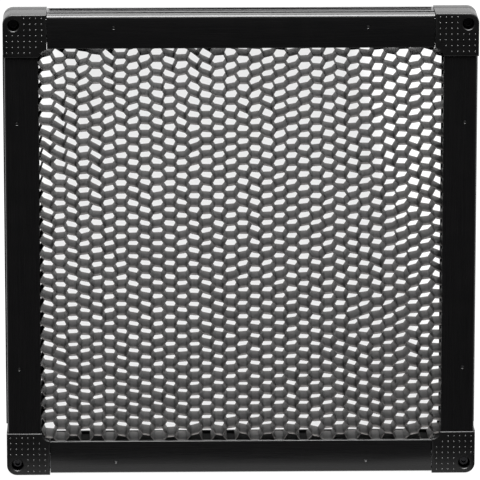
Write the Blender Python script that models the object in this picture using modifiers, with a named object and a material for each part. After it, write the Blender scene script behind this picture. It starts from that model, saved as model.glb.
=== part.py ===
"""Square honeycomb light-control grid in a framed carrier for a panel light.

Frame of reference: X to the right, Z up, the front faces -Y. The origin is the centre of the
rear seating plane (y = 0), which lies against the light. All lengths are in metres.

Four hollow rails butt against four two-part corner mouldings. An L-shaped key plate runs
through each corner into both rails and is pinned there. The honeycomb core sits in the rails'
inner channels behind their front lips and is held from the rear by four strips. A captive
screw in each corner fastens the grid to the light.
"""

import math

import bmesh
import bpy
from mathutils import Matrix, Vector

# Overall frame
CORNER_HALF = 0.163        # centre to the outer side of a corner moulding
CORNER_SIZE = 0.030        # side of the square that a corner moulding covers
WINDOW_HALF = 0.139        # centre to the rails' inner edge
RAIL_HALF = 0.1622         # centre to the rails' outer side
GAP = 0.0003               # running and assembly clearance between neighbouring pieces

# Depth stations along Y, from the front to the rear seating plane at y = 0
CORNER_FACE_Y = -0.0316    # face of the front mouldings, under the studs
RAIL_FRONT_Y = CORNER_FACE_Y + 0.0012
RAIL_REAR_Y = -0.0008
PARTING_Y = -0.0112        # where the front and rear mouldings meet
SHELL_WALL = 0.002
HOLLOW_CORNER_CUT = 0.0075 # straight cut across the outer corner of a moulding's hollow

# Rail section, measured from the window edge outwards and from the front face back
LIP_DEPTH = 0.0025
LIP_HEIGHT = 0.0023
RAIL_WALL = 0.0016
CROWN_RADIUS = 0.0025
GROOVE_START = 0.0085
GROOVE_END = 0.0127
GROOVE_DEPTH = 0.0015
FLANGE_START = 0.0200
FLANGE_END = 0.0216
FLANGE_HEIGHT = 0.0014
FLANGE_NOTCH = 0.0015      # length of flange cut away at each end of a rail
STRIP_WIDTH = 0.0072
STRIP_THICKNESS = 0.0015

# Honeycomb core; its cells stand in for finer ones, at 2.8 times their pitch
CORE_HALF = WINDOW_HALF + LIP_HEIGHT - GAP
CORE_DEPTH = 0.025
FINE_CELL = 0.0096
CORE_CELL = 2.8 * FINE_CELL
CORE_WALL = 0.0003
CORE_RIM = 0.0006

# Corner mouldings
OUTER_RADIUS = 0.007
EDGE_CHAMFER = 0.001
WINDOW_PROUD = 0.0008      # how far the mouldings stand into the window past the rails
STUD_PITCH = 0.004
STUD_INSET = 0.0027        # outer side to the first row of studs
STUD_ROWS = 7
STUD_HEIGHT = 0.0004
STUD_BASE_RADIUS = 0.00075
POST_AT = (0.1450, 0.1375)
POST_RADIUS = 0.0025
REAR_POST_RADIUS = 0.0032

# Captive M4 corner screw
SCREW_AXIS = CORNER_HALF - 0.0074
COUNTERBORE_RADIUS = 0.004
COUNTERBORE_WALL = 0.0012
SEAT_WEB = 0.003
SCREW_CLEARANCE_RADIUS = 0.0024
SCREW_TRAVEL = 0.007
SCREW_RADIUS = 0.002
SCREW_TIP_Y = -0.0006
HEAD_RADIUS = 0.0035
HEAD_LENGTH = 0.004
SOCKET_RADIUS = 0.00173
SOCKET_DEPTH = 0.002
WASHER_RADIUS = 0.004
WASHER_THICKNESS = 0.001
WASHER_FRONT_Y = PARTING_Y + GAP
RELIEF_RADIUS = 0.0014     # turned-down neck that the captive washer runs in

# Key plate and pins
KEY_THICKNESS = 0.003
KEY_INNER = WINDOW_HALF + 0.0092
KEY_OUTER = WINDOW_HALF + 0.0198
KEY_END = 0.082            # where each leg ends, measured from the frame's centre line
KEY_GUSSET = 0.0052
PIN_ALONG = 0.087
PIN_ACROSS = WINDOW_HALF + 0.0147
PIN_RADIUS = 0.001
PIN_TAIL_RADIUS = 0.0016

# Tapping screws that hold the two mouldings together
TAPPER_RADIUS = 0.00125
TAPPER_HEAD_RADIUS = 0.0023
TAPPER_HEAD_LENGTH = 0.0014
TAPPER_LENGTH = 0.014
TAPPER_SINK = 0.002

QUARTERS = ("tr", "br", "bl", "tl")
SIDES = ("top", "right", "bottom", "left")
OVERCUT = 0.002            # how far a cutter runs past the face that it opens
ROUND_SIDES = 12           # sides of the larger round features
SMALL_SIDES = 8            # sides of the small ones
WELD = 0.000001

MATERIALS = {
    "rail_anodised": ((0.012, 0.012, 0.013), 0.42, 1.0),
    "corner_plastic": ((0.010, 0.010, 0.011), 0.50, 0.0),
    "core_foil": ((0.050, 0.048, 0.047), 0.50, 0.9),
    "key_plate": ((0.55, 0.55, 0.56), 0.38, 1.0),
    "screw_steel": ((0.030, 0.030, 0.032), 0.35, 1.0),
    "captive_nylon": ((0.75, 0.74, 0.70), 0.45, 0.0),
    "strip_plastic": ((0.012, 0.012, 0.012), 0.55, 0.0),
    "pin_steel": ((0.10, 0.10, 0.105), 0.30, 1.0),
}


def clear_scene():
    """Removes every object, so that the script always starts from an empty scene."""
    for thing in list(bpy.data.objects):
        bpy.data.objects.remove(thing, do_unlink=True)


def new_collection(name):
    """A collection linked to the scene."""
    collection = bpy.data.collections.new(name)
    bpy.context.scene.collection.children.link(collection)
    return collection


def make_materials():
    """One Principled material for each kind of sub-part."""
    made = {}
    for name, (colour, roughness, metallic) in MATERIALS.items():
        material = bpy.data.materials.new(name)
        material.use_nodes = True
        shader = material.node_tree.nodes["Principled BSDF"]
        shader.inputs["Base Color"].default_value = (*colour, 1.0)
        shader.inputs["Roughness"].default_value = roughness
        shader.inputs["Metallic"].default_value = metallic
        made[name] = material
    return made


def arc(centre, radius, start, end, steps):
    """Points along an arc, both ends included; angles in degrees."""
    points = []
    for i in range(steps + 1):
        angle = math.radians(start + (end - start) * i / steps)
        points.append((centre[0] + radius * math.cos(angle), centre[1] + radius * math.sin(angle)))
    return points


def add_object(name, mesh, collection):
    """A mesh object in a collection, at the origin."""
    thing = bpy.data.objects.new(name, mesh)
    collection.objects.link(thing)
    return thing


def evaluated_mesh(thing):
    """The object's mesh with its modifiers applied, welded, with its faces pointing out."""
    bpy.context.view_layer.update()
    graph = bpy.context.evaluated_depsgraph_get()
    mesh = bpy.data.meshes.new_from_object(thing.evaluated_get(graph))
    mesh.transform(thing.matrix_world)
    work = bmesh.new()
    work.from_mesh(mesh)
    bmesh.ops.remove_doubles(work, verts=work.verts, dist=WELD)
    bmesh.ops.recalc_face_normals(work, faces=work.faces)
    work.to_mesh(mesh)
    work.free()
    mesh.name = thing.name
    return mesh


def finished(thing):
    """Applies an object's modifiers and returns the mesh; the working object is removed."""
    mesh = evaluated_mesh(thing)
    bpy.data.objects.remove(thing, do_unlink=True)
    mesh.shade_smooth()
    mesh.set_sharp_from_angle(angle=math.radians(35))
    return mesh


def outline_solid(name, outlines, thickness, matrix):
    """A flat outline with a thickness; further outlines inside the first one are holes."""
    curve = bpy.data.curves.new(name, "CURVE")
    curve.dimensions = "2D"
    curve.fill_mode = "BOTH"
    curve.extrude = thickness / 2
    for points in outlines:
        spline = curve.splines.new("POLY")
        spline.points.add(len(points) - 1)
        spline.use_cyclic_u = True
        for control, point in zip(spline.points, points):
            control.co = (point[0], point[1], 0.0, 1.0)
    flat = bpy.data.objects.new(name, curve)
    CUTTERS.objects.link(flat)
    flat.matrix_world = matrix
    mesh = evaluated_mesh(flat)
    bpy.data.objects.remove(flat, do_unlink=True)
    return add_object(name, mesh, CUTTERS)


def facing_plate(name, outlines, front_y, rear_y):
    """An outline in the X-Z plane, given thickness from front_y to rear_y."""
    upright = Matrix.Rotation(math.radians(90), 4, "X")
    middle = Matrix.Translation((0.0, (front_y + rear_y) / 2, 0.0))
    return outline_solid(name, outlines, rear_y - front_y, middle @ upright)


def box(name, low, high):
    """A box between two corners, made as a cutter or a body to be joined."""
    size = Vector(high) - Vector(low)
    middle = (Vector(high) + Vector(low)) / 2
    mesh = bpy.data.meshes.new(name)
    work = bmesh.new()
    bmesh.ops.create_cube(work, size=1.0, matrix=Matrix.Translation(middle) @ Matrix.Diagonal((*size, 1.0)))
    work.to_mesh(mesh)
    work.free()
    return add_object(name, mesh, CUTTERS)


def rod(name, centre, radius, front_y, rear_y, sides=ROUND_SIDES):
    """A cylinder along Y, centred on (x, z), from front_y to rear_y."""
    mesh = bpy.data.meshes.new(name)
    work = bmesh.new()
    place = Matrix.Translation((centre[0], (front_y + rear_y) / 2, centre[1]))
    turn = Matrix.Rotation(math.radians(-90), 4, "X")
    bmesh.ops.create_cone(
        work,
        cap_ends=True,
        segments=sides,
        radius1=radius,
        radius2=radius,
        depth=rear_y - front_y,
        matrix=place @ turn,
    )
    work.to_mesh(mesh)
    work.free()
    return add_object(name, mesh, CUTTERS)


def combine(target, other, operation):
    """Adds an exact Boolean of the other object to the target."""
    other.hide_render = True
    other.display_type = "WIRE"
    step = target.modifiers.new(operation.lower(), "BOOLEAN")
    step.operation = operation
    step.solver = "EXACT"
    step.object = other


def cut(target, *cutters):
    """Takes the cutters' volumes out of the target."""
    for cutter in cutters:
        combine(target, cutter, "DIFFERENCE")


def join(target, *bodies):
    """Makes the bodies one with the target."""
    for body in bodies:
        combine(target, body, "UNION")


def turned(name, profile, sides):
    """A solid turned about Y from (radius, y) points that run from its rear end to its front."""
    mesh = bpy.data.meshes.new(name)
    work = bmesh.new()
    ring = [work.verts.new((radius, 0.0, -y)) for radius, y in profile]
    for first, second in zip(ring, ring[1:]):
        work.edges.new((first, second))
    work.to_mesh(mesh)
    work.free()
    thing = add_object(name, mesh, CUTTERS)
    turn = thing.modifiers.new("turn", "SCREW")
    turn.axis = "Z"
    turn.steps = sides
    turn.render_steps = sides
    turn.use_merge_vertices = True
    turn.merge_threshold = WELD
    turn.use_smooth_shade = True
    thing.matrix_world = Matrix.Rotation(math.radians(90), 4, "X")
    mesh = evaluated_mesh(thing)
    bpy.data.objects.remove(thing, do_unlink=True)
    return add_object(name, mesh, CUTTERS)


def place_quarters(base_name, mesh, material, suffixes, at=(0.0, 0.0)):
    """Four copies of a piece, each turned a quarter further round Y, with origins at `at`."""
    mesh.materials.clear()
    mesh.materials.append(material)
    for i, suffix in enumerate(suffixes):
        turn = Matrix.Rotation(math.radians(90 * i), 4, "Y")
        thing = add_object(f"{base_name}_{suffix}", mesh, PIECES)
        thing.rotation_euler = (0.0, math.radians(90 * i), 0.0)
        thing.location = turn @ Vector((at[0], 0.0, at[1]))
        thing.parent = ORIGIN


def chamfer_rim(thing, face_y, width):
    """Chamfers the edges round the flat face that lies at face_y."""
    work = bmesh.new()
    work.from_mesh(thing.data)
    rim = []
    for edge in work.edges:
        on_face = all(abs(v.co.y - face_y) < WELD for v in edge.verts)
        facing = [abs(f.normal.y) > 0.5 for f in edge.link_faces]
        if on_face and facing.count(True) == 1:
            rim.append(edge)
    bmesh.ops.bevel(work, geom=rim, offset=width, segments=1, affect="EDGES")
    work.to_mesh(thing.data)
    work.free()


def corner_outline():
    """The moulding's square with a rounded outer corner and a scooped window corner."""
    outer = CORNER_HALF
    inner = CORNER_HALF - CORNER_SIZE
    scoop = WINDOW_HALF - WINDOW_PROUD - inner
    centre = outer - OUTER_RADIUS
    points = [(inner, outer)]
    points += arc((centre, centre), OUTER_RADIUS, 90, 0, 6)
    points += [(outer, inner)]
    points += arc((inner, inner), scoop, 0, 90, 6)
    return points


def cavity_outline():
    """The L-shaped hollow of a corner, which runs on into both rails' hollows."""
    outer = CORNER_HALF - SHELL_WALL
    wall = WINDOW_HALF + LIP_HEIGHT + RAIL_WALL
    end = CORNER_HALF - CORNER_SIZE - OVERCUT
    cut_start = outer - HOLLOW_CORNER_CUT
    points = [(end, outer), (cut_start, outer), (outer, cut_start)]
    points += [(outer, end), (wall, end), (wall, wall), (end, wall)]
    return points


def core_pocket(front_y, rear_y):
    """The corner of the pocket that the core's edge sits in, as a cutter."""
    reach = CORE_HALF + GAP
    start = CORNER_HALF - CORNER_SIZE - OVERCUT
    return box("core_pocket", (start, front_y, start), (reach, rear_y, reach))


def grip_studs():
    """The grip studs on a front moulding, as one object of small pyramids."""
    mesh = bpy.data.meshes.new("studs")
    work = bmesh.new()
    depth = STUD_HEIGHT * 1.25
    middle_y = CORNER_FACE_Y - STUD_HEIGHT + depth / 2
    turn = Matrix.Rotation(math.radians(90), 4, "X")
    last = STUD_ROWS - 1
    for column in range(STUD_ROWS):
        for row in range(STUD_ROWS):
            beside_screw = column < 3 and row < 3
            beside_window = column + row >= 2 * last - 1
            if beside_screw or beside_window:
                continue
            x = CORNER_HALF - STUD_INSET - STUD_PITCH * column
            z = CORNER_HALF - STUD_INSET - STUD_PITCH * row
            bmesh.ops.create_cone(
                work,
                cap_ends=True,
                segments=4,
                radius1=STUD_BASE_RADIUS,
                radius2=0.0,
                depth=depth,
                matrix=Matrix.Translation((x, middle_y, z)) @ turn,
            )
    work.to_mesh(mesh)
    work.free()
    return add_object("studs", mesh, CUTTERS)


def mirrored(point):
    """The same place on the other leg of a corner."""
    return (point[1], point[0])


def make_corner_front():
    """Front moulding: studded face, counterbore for the screw, two posts, open at the rear."""
    rear = PARTING_Y - GAP / 2
    screw = (SCREW_AXIS, SCREW_AXIS)
    inside = CORNER_FACE_Y + SHELL_WALL
    seat = rear - SEAT_WEB
    shell = facing_plate("corner_front", [corner_outline()], CORNER_FACE_Y, rear)
    chamfer_rim(shell, CORNER_FACE_Y, EDGE_CHAMFER)
    hollow = facing_plate("front_hollow", [cavity_outline()], inside, rear + OVERCUT)
    cut(shell, hollow, core_pocket(RAIL_FRONT_Y + LIP_DEPTH, rear + OVERCUT))
    root = CORNER_FACE_Y + SHELL_WALL / 2
    boss_radius = COUNTERBORE_RADIUS + COUNTERBORE_WALL
    join(shell, rod("screw_boss", screw, boss_radius, root, rear))
    for centre in (POST_AT, mirrored(POST_AT)):
        join(shell, rod("post", centre, POST_RADIUS, root, rear, SMALL_SIDES))
    cut(shell, rod("counterbore", screw, COUNTERBORE_RADIUS, CORNER_FACE_Y - OVERCUT, seat))
    cut(shell, rod("screw_hole", screw, SCREW_CLEARANCE_RADIUS, seat - GAP, rear + OVERCUT))
    pilot = TAPPER_RADIUS + GAP
    pilot_end = -TAPPER_LENGTH - TAPPER_SINK - OVERCUT
    for centre in (POST_AT, mirrored(POST_AT)):
        cut(shell, rod("pilot", centre, pilot, pilot_end, rear + OVERCUT, SMALL_SIDES))
    join(shell, grip_studs())
    return finished(shell)


def make_corner_rear():
    """Rear moulding: seating face, washer chamber, clearance holes, open at the front."""
    front = PARTING_Y + GAP / 2
    screw = (SCREW_AXIS, SCREW_AXIS)
    inside = -SHELL_WALL
    core_rear = RAIL_FRONT_Y + LIP_DEPTH + GAP + CORE_DEPTH
    shell = facing_plate("corner_rear", [corner_outline()], front, 0.0)
    chamfer_rim(shell, 0.0, EDGE_CHAMFER)
    hollow = facing_plate("rear_hollow", [cavity_outline()], front - OVERCUT, inside)
    cut(shell, hollow, core_pocket(front - OVERCUT, core_rear + GAP))
    chamber = WASHER_RADIUS + GAP
    root = inside / 2
    join(shell, rod("chamber_wall", screw, chamber + COUNTERBORE_WALL, front, root))
    for centre in (POST_AT, mirrored(POST_AT)):
        join(shell, rod("rear_post", centre, REAR_POST_RADIUS, front, root, SMALL_SIDES))
    cut(shell, rod("chamber", screw, chamber, front - OVERCUT, inside))
    cut(shell, rod("screw_hole", screw, SCREW_CLEARANCE_RADIUS, inside - GAP, OVERCUT))
    for centre in (POST_AT, mirrored(POST_AT)):
        clearance = TAPPER_RADIUS + 1.5 * GAP
        sink = TAPPER_HEAD_RADIUS + 1.5 * GAP
        cut(shell, rod("tapper_hole", centre, clearance, front - OVERCUT, OVERCUT, SMALL_SIDES))
        cut(shell, rod("tapper_sink", centre, sink, -TAPPER_SINK, OVERCUT, SMALL_SIDES))
    return finished(shell)


def rail_section():
    """Outer and hollow outlines of a rail, as (depth along Y, distance from the frame's centre)."""
    front = RAIL_FRONT_Y
    inner = WINDOW_HALF
    outer = RAIL_HALF
    crown = (front + CROWN_RADIUS, outer - CROWN_RADIUS)
    groove = outer - GROOVE_DEPTH
    flange = outer + FLANGE_HEIGHT
    channel = inner + LIP_HEIGHT
    ledge = inner + STRIP_WIDTH + GAP
    ledge_y = RAIL_REAR_Y - STRIP_THICKNESS - GAP
    outside = [(front, inner)]
    outside += arc(crown, CROWN_RADIUS, 180, 90, 3)
    outside += [(front + GROOVE_START, outer), (front + GROOVE_START, groove)]
    outside += [(front + GROOVE_END, groove), (front + GROOVE_END, outer)]
    outside += [(front + FLANGE_START, outer), (front + FLANGE_START, flange)]
    outside += [(front + FLANGE_END, flange), (front + FLANGE_END, outer)]
    outside += [(RAIL_REAR_Y, outer), (RAIL_REAR_Y, ledge), (ledge_y, ledge), (ledge_y, channel)]
    outside += [(front + LIP_DEPTH, channel), (front + LIP_DEPTH, inner)]
    wall = RAIL_WALL
    hollow = [(front + wall, channel + wall), (front + wall, outer - CROWN_RADIUS)]
    hollow += [(front + CROWN_RADIUS, outer - wall), (front + GROOVE_START - wall, outer - wall)]
    hollow += [(front + GROOVE_START - wall, groove - wall), (front + GROOVE_END + wall, groove - wall)]
    hollow += [(front + GROOVE_END + wall, outer - wall), (RAIL_REAR_Y - wall, outer - wall)]
    hollow += [(RAIL_REAR_Y - wall, ledge + wall), (ledge_y - wall, ledge + wall)]
    hollow += [(ledge_y - wall, channel + wall)]
    return [outside, hollow]


def make_rail():
    """Top rail: hollow extrusion along X, flange notched at both ends, two pin holes in front."""
    half = CORNER_HALF - CORNER_SIZE - GAP
    along_x = Matrix(((0, 0, 1), (1, 0, 0), (0, 1, 0))).to_4x4()
    rail = outline_solid("rail", rail_section(), 2 * half, along_x)
    low_y = RAIL_FRONT_Y + FLANGE_START - GAP
    high_y = RAIL_FRONT_Y + FLANGE_END + GAP
    for side in (-1, 1):
        ends = sorted((side * (half - FLANGE_NOTCH), side * (half + OVERCUT)))
        notch = box("notch", (ends[0], low_y, RAIL_HALF), (ends[1], high_y, RAIL_HALF + OVERCUT))
        cut(rail, notch)
        hole_at = (side * PIN_ALONG, PIN_ACROSS)
        hole_end = RAIL_FRONT_Y + 2 * RAIL_WALL
        hole_start = RAIL_FRONT_Y - OVERCUT
        cut(rail, rod("pin_hole", hole_at, PIN_RADIUS + GAP, hole_start, hole_end, SMALL_SIDES))
    return finished(rail)


def make_strip():
    """Top retaining strip: closes the rear of the core's channel between two corners."""
    half = CORNER_HALF - CORNER_SIZE - GAP
    top = WINDOW_HALF + STRIP_WIDTH
    low = (-half, RAIL_REAR_Y - STRIP_THICKNESS, WINDOW_HALF)
    return finished(box("core_strip", low, (half, RAIL_REAR_Y, top)))


def key_outline():
    """L-shaped plate with a gusset inside the bend and a scallop round the screw's boss."""
    scallop = COUNTERBORE_RADIUS + COUNTERBORE_WALL + GAP
    across = KEY_OUTER - SCREW_AXIS
    start = math.degrees(-math.acos(across / scallop))
    points = [(KEY_INNER - KEY_GUSSET, KEY_INNER), (KEY_END, KEY_INNER), (KEY_END, KEY_OUTER)]
    points += arc((SCREW_AXIS, SCREW_AXIS), scallop, 90 - start, 360 + start, 6)
    points += [(KEY_OUTER, KEY_END), (KEY_INNER, KEY_END), (KEY_INNER, KEY_INNER - KEY_GUSSET)]
    return points


def make_key():
    """Key plate of the top right corner, with a hole for a pin in each leg."""
    front = RAIL_FRONT_Y + RAIL_WALL + GAP
    outlines = [key_outline()]
    for centre in ((PIN_ALONG, PIN_ACROSS), (PIN_ACROSS, PIN_ALONG)):
        outlines.append(arc(centre, PIN_RADIUS + GAP, 0, 315, 7))
    return finished(facing_plate("corner_key", outlines, front, front + KEY_THICKNESS))


def make_pin():
    """Drive pin: a headless shank through rail and key, with a spread tail behind the key."""
    front = RAIL_FRONT_Y + GAP
    key_rear = RAIL_FRONT_Y + RAIL_WALL + GAP + KEY_THICKNESS
    tail = key_rear + GAP
    edge = PIN_RADIUS / 4
    profile = [(0.0, tail + PIN_RADIUS), (PIN_TAIL_RADIUS, tail + PIN_RADIUS / 2)]
    profile += [(PIN_TAIL_RADIUS, tail), (PIN_RADIUS, tail), (PIN_RADIUS, front + edge)]
    profile += [(PIN_RADIUS - edge, front), (0.0, front)]
    return finished(turned("rail_pin", profile, SMALL_SIDES))


def make_screw():
    """Captive socket-head screw, withdrawn to the front end of its travel."""
    seat = PARTING_Y - GAP / 2 - SEAT_WEB
    under_head = seat - SCREW_TRAVEL - 1.5 * GAP
    head = under_head - HEAD_LENGTH
    relief_rear = WASHER_FRONT_Y + WASHER_THICKNESS + GAP
    relief_front = WASHER_FRONT_Y - GAP
    edge = SCREW_RADIUS / 5
    profile = [(0.0, SCREW_TIP_Y), (SCREW_RADIUS - edge, SCREW_TIP_Y)]
    profile += [(SCREW_RADIUS, SCREW_TIP_Y - edge), (SCREW_RADIUS, relief_rear)]
    profile += [(RELIEF_RADIUS, relief_rear), (RELIEF_RADIUS, relief_front)]
    profile += [(SCREW_RADIUS, relief_front), (SCREW_RADIUS, under_head)]
    profile += [(HEAD_RADIUS, under_head), (HEAD_RADIUS, head + edge)]
    profile += [(HEAD_RADIUS - edge, head), (0.0, head)]
    screw = turned("corner_screw", profile, ROUND_SIDES)
    cut(screw, rod("socket", (0.0, 0.0), SOCKET_RADIUS, head - OVERCUT, head + SOCKET_DEPTH, 6))
    return finished(screw)


def make_washer():
    """Captive washer: trapped in the screw's neck, it slides but doesn't turn."""
    rear = WASHER_FRONT_Y + WASHER_THICKNESS
    washer = rod("captive_washer", (0.0, 0.0), WASHER_RADIUS, WASHER_FRONT_Y, rear)
    bore = RELIEF_RADIUS + GAP
    cut(washer, rod("washer_bore", (0.0, 0.0), bore, WASHER_FRONT_Y - OVERCUT, rear + OVERCUT))
    return finished(washer)


def make_tapper():
    """Pan-head tapping screw, sunk below the seating face, with a plain slot."""
    head_rear = -GAP
    under_head = head_rear - TAPPER_HEAD_LENGTH
    tip = under_head - TAPPER_LENGTH
    edge = TAPPER_RADIUS / 3
    profile = [(0.0, head_rear), (TAPPER_HEAD_RADIUS - edge, head_rear)]
    profile += [(TAPPER_HEAD_RADIUS, head_rear - edge), (TAPPER_HEAD_RADIUS, under_head)]
    profile += [(TAPPER_RADIUS, under_head), (TAPPER_RADIUS, tip + 2 * edge)]
    profile += [(edge, tip), (0.0, tip)]
    tapper = turned("shell_screw", profile, SMALL_SIDES)
    arm = TAPPER_HEAD_RADIUS * 0.7
    half = TAPPER_HEAD_RADIUS * 0.12
    floor = head_rear - TAPPER_HEAD_LENGTH * 0.6
    cut(tapper, box("slot", (-arm, floor, -half), (arm, OVERCUT, half)))
    return finished(tapper)


def clip(points, axis, limit, sign):
    """The part of a convex outline on the near side of a line across one axis."""
    kept = []
    for first, second in zip(points, points[1:] + points[:1]):
        inside_first = sign * (limit - first[axis]) >= 0
        inside_second = sign * (limit - second[axis]) >= 0
        if inside_first:
            kept.append(first)
        if inside_first != inside_second:
            share = (limit - first[axis]) / (second[axis] - first[axis])
            kept.append(tuple(a + share * (b - a) for a, b in zip(first, second)))
    return kept


def outline_area(points):
    """Area inside a closed outline."""
    pairs = zip(points, points[1:] + points[:1])
    return abs(sum(a[0] * b[1] - b[0] * a[1] for a, b in pairs)) / 2


def core_cells():
    """Through-cells of the core: upright columns of hexagons, every other one half a cell up."""
    side = CORE_CELL / math.sqrt(3)
    corner_radius = (CORE_CELL - CORE_WALL) / math.sqrt(3)
    limit = CORE_HALF - CORE_RIM
    columns = math.ceil(limit / (1.5 * side))
    rows = math.ceil(limit / CORE_CELL) + 1
    smallest = CORE_CELL * CORE_CELL / 100
    cells = []
    for column in range(-columns, columns + 1):
        lift = CORE_CELL / 2 if column % 2 else 0.0
        for row in range(-rows, rows + 1):
            centre = (1.5 * side * column, CORE_CELL * row + lift)
            cell = arc(centre, corner_radius, 0, 300, 5)
            for axis in (0, 1):
                cell = clip(cell, axis, limit, 1)
                cell = clip(cell, axis, -limit, -1)
            if len(cell) > 2 and outline_area(cell) > smallest:
                cells.append(cell)
    return cells


def make_core():
    """Honeycomb core, pressed into the frame's inner channel from the rear."""
    front = RAIL_FRONT_Y + LIP_DEPTH + GAP
    rim = [(-CORE_HALF, -CORE_HALF), (CORE_HALF, -CORE_HALF)]
    rim += [(CORE_HALF, CORE_HALF), (-CORE_HALF, CORE_HALF)]
    return finished(facing_plate("honeycomb_core", [rim] + core_cells(), front, front + CORE_DEPTH))


clear_scene()
PIECES = new_collection("honeycomb_grid_frame")
CUTTERS = new_collection("cutters")
CUTTERS.hide_render = True
ORIGIN = bpy.data.objects.new("grid_origin", None)
PIECES.objects.link(ORIGIN)
LOOKS = make_materials()

place_quarters("rail", make_rail(), LOOKS["rail_anodised"], SIDES)
place_quarters("core_strip", make_strip(), LOOKS["strip_plastic"], SIDES)
place_quarters("corner_front", make_corner_front(), LOOKS["corner_plastic"], QUARTERS)
place_quarters("corner_rear", make_corner_rear(), LOOKS["corner_plastic"], QUARTERS)
place_quarters("corner_key", make_key(), LOOKS["key_plate"], QUARTERS)

screw_at = (SCREW_AXIS, SCREW_AXIS)
place_quarters("corner_screw", make_screw(), LOOKS["screw_steel"], QUARTERS, screw_at)
place_quarters("captive_washer", make_washer(), LOOKS["captive_nylon"], QUARTERS, screw_at)

TAPPER = make_tapper()
PIN = make_pin()
for number, tapper_at in enumerate((POST_AT, mirrored(POST_AT)), start=1):
    names = [f"{quarter}_{number}" for quarter in QUARTERS]
    place_quarters("shell_screw", TAPPER, LOOKS["screw_steel"], names, tapper_at)
for number, along in enumerate((-PIN_ALONG, PIN_ALONG), start=1):
    names = [f"{side}_{number}" for side in SIDES]
    place_quarters("rail_pin", PIN, LOOKS["pin_steel"], names, (along, PIN_ACROSS))

CORE = make_core()
CORE.materials.append(LOOKS["core_foil"])
core_object = add_object("honeycomb_core", CORE, PIECES)
core_object.parent = ORIGIN
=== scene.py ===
"""Finished surfaces for the honeycomb light-control grid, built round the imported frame.

X to the right, Z up, the front faces -Y and the rear seating plane is y = 0. Lengths are in
metres. Four-fold pieces are modelled once, in the top or top right place, and turned round Y.
"""

import contextlib
import itertools
import math
import random

import bmesh
import bpy
from mathutils import Matrix, Vector


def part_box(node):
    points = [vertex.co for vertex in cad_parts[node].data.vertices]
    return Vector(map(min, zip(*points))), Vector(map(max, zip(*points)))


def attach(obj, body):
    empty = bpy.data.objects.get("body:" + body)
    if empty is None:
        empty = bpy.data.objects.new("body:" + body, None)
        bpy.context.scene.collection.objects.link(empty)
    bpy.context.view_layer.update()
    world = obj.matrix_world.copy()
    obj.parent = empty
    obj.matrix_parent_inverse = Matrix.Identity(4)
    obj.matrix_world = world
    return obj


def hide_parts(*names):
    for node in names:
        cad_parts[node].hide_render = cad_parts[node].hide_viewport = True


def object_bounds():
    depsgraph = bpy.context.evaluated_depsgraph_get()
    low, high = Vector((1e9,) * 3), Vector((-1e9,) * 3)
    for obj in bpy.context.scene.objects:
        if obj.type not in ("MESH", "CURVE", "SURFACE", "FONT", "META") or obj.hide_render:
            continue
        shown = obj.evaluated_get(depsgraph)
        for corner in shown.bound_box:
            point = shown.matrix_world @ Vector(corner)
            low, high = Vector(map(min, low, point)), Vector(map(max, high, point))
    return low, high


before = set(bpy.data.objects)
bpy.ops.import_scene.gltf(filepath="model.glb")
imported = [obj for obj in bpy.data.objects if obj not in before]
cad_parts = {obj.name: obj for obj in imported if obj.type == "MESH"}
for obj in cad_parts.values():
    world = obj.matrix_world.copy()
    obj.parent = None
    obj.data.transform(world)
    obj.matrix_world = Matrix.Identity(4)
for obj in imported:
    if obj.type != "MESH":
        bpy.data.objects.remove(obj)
CAD_LOW, CAD_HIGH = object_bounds()


def middle_of(low, high):
    """The centre of a box across X and Z."""
    return ((low.x + high.x) / 2, (low.z + high.z) / 2)


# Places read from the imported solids
RAIL_LOW, RAIL_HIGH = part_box("rail_top")
CORNER_LOW, CORNER_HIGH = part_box("corner_front_tr")
REAR_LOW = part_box("corner_rear_tr")[0]
CORE_LOW, CORE_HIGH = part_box("honeycomb_core")
STRIP_LOW, STRIP_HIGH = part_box("core_strip_top")
KEY_LOW, KEY_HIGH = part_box("corner_key_tr")
SCREW_LOW, SCREW_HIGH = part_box("corner_screw_tr")
WASHER_LOW, WASHER_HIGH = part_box("captive_washer_tr")
TAPPER_LOW, TAPPER_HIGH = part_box("shell_screw_tr_1")
PIN_LOW, PIN_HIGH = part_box("rail_pin_top_2")

GAP = 0.0003
CORNER_HALF = CORNER_HIGH.x
CORNER_INNER = CORNER_LOW.x
STUD_HEIGHT = 0.0004
CORNER_FACE_Y = CORNER_LOW.y + STUD_HEIGHT
PARTING_FRONT_Y = CORNER_HIGH.y
PARTING_REAR_Y = REAR_LOW.y
WINDOW_HALF = RAIL_LOW.z
RAIL_FRONT_Y = RAIL_LOW.y
RAIL_REAR_Y = RAIL_HIGH.y
RAIL_END = RAIL_HIGH.x
FLANGE_HEIGHT = 0.0014
RAIL_HALF = RAIL_HIGH.z - FLANGE_HEIGHT

# Corner mouldings
OUTER_RADIUS = 0.007
EDGE_ROUND = 0.001
EDGE_STEPS = 4
PARTING_ROUND = 0.0002
PARTING_STEPS = 2
WINDOW_PROUD = 0.0008
SHELL_WALL = 0.002
HOLLOW_CORNER_CUT = 0.0075
STUD_PITCH = 0.004
STUD_INSET = 0.0027
STUD_ROWS = 7
STUD_ROWS_BY_SCREW = 3
STUD_RADIUS = 0.00062
STUD_SEGMENTS = 14
STUD_RINGS = 9
POST_AT = (0.1450, 0.1375)
POST_RADIUS = 0.0025
REAR_POST_RADIUS = 0.0032
COUNTERBORE_RADIUS = 0.004
COUNTERBORE_WALL = 0.0012
COUNTERBORE_LEAD = 0.0005
SEAT_WEB = 0.003
SCREW_CLEARANCE_RADIUS = 0.0024
SCREW_AXIS = (SCREW_LOW.x + SCREW_HIGH.x) / 2
SCREW_AT = (SCREW_AXIS, SCREW_AXIS)
PIN_AT = middle_of(PIN_LOW, PIN_HIGH)

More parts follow.
